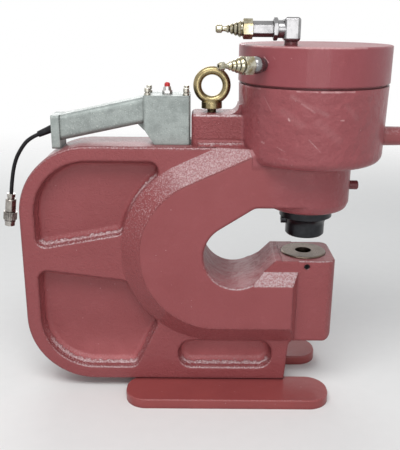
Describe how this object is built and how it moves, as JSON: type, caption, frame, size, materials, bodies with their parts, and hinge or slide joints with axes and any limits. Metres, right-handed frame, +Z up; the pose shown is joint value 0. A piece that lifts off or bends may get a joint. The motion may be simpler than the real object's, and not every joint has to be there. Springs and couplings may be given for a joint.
{
  "type": "hydraulic hole punch press",
  "caption": "Hydraulic C-frame hole punch: cast frame on foot plates, press cylinder with sliding punch over a die, lifting eye, grip with push button and hose nipples.",
  "frame": {"origin": "on the floor, midway along the machine and in its middle plane", "axes": "+X from the back of the C-frame to the throat, +Y away from the operator, +Z up"},
  "size_m": [0.7387, 0.2528, 0.658],
  "materials": {
    "frame_paint": "maroon gloss paint over a rough casting",
    "dark_paint": "maroon paint in the shade, over steel",
    "tool_steel": "ground tool steel",
    "ground_steel": "ground and polished",
    "black_steel": "blackened steel",
    "bronze": "turned bronze",
    "seal_rubber": "moulded seal rubber",
    "bearing_plastic": "filled bearing plastic",
    "yellow_zinc": "yellow passivated zinc on steel",
    "bright_zinc": "bright zinc on steel",
    "grey_aluminium": "grey-lacquered cast aluminium",
    "nickel": "nickel plate on brass",
    "red_plastic": "moulded plastic",
    "black_plastic": "moulded plastic",
    "cable_rubber": "moulded rubber"
  },
  "bodies": {
    "press_frame": {"c_frame": "frame_paint", "front_foot": "frame_paint", "rear_foot": "frame_paint", "foot_welds": "frame_paint", "die": "tool_steel", "die_set_screw": "black_steel", "cylinder_cap": "frame_paint", "cap_seal": "seal_rubber", "transfer_tube": "tool_steel", "guide_bush": "bronze", "rod_seal": "seal_rubber", "rod_wiper": "seal_rubber", "bush_lock_screw": "dark_paint", "stripper": "black_steel", "stripper_lock_screw": "black_steel", "eyebolt": "yellow_zinc", "steering_bar": "frame_paint", "top_port_adapter": "dark_paint", "top_elbow": "bright_zinc", "top_lock_nut": "bright_zinc", "top_extension": "bright_zinc", "top_nipple": "yellow_zinc", "side_elbow": "bright_zinc", "side_nipple": "yellow_zinc", "handle_casting": "grey_aluminium", "handle_end_plate": "grey_aluminium", "end_plate_screws": "bright_zinc", "handle_bolts": "black_steel", "box_cover": "grey_aluminium", "cover_screws": "bright_zinc", "button_bushing": "nickel", "switch_body": "black_plastic", "strain_relief": "cable_rubber", "control_cable": "cable_rubber", "plug_gland": "nickel", "plug_shell": "nickel", "plug_insert": "black_plastic"},
    "ram_group": {"ram": "ground_steel", "piston_seal": "seal_rubber", "wear_ring": "bearing_plastic", "tube_seal": "seal_rubber", "punch": "tool_steel", "punch_nut": "black_steel"},
    "button": {"push_button": "red_plastic"},
    "plug_coupling": {"plug_ring": "nickel"}
  },
  "joints": [
    {"name": "ram_slide", "type": "slide", "parent": "press_frame", "child": "ram_group", "axis": [0, 0, -1], "range_m": [0, 0.04]},
    {"name": "button_press", "type": "slide", "parent": "press_frame", "child": "button", "axis": [0, 0, -1], "range_m": [0, 0.003], "stiffness_N_per_m": 500},
    {"name": "coupling_turn", "type": "hinge", "parent": "press_frame", "child": "plug_coupling", "pos_m": [-0.3725, 0, 0.358], "axis": [-0.1249, 0, -0.9922], "continuous": true}
  ]
}
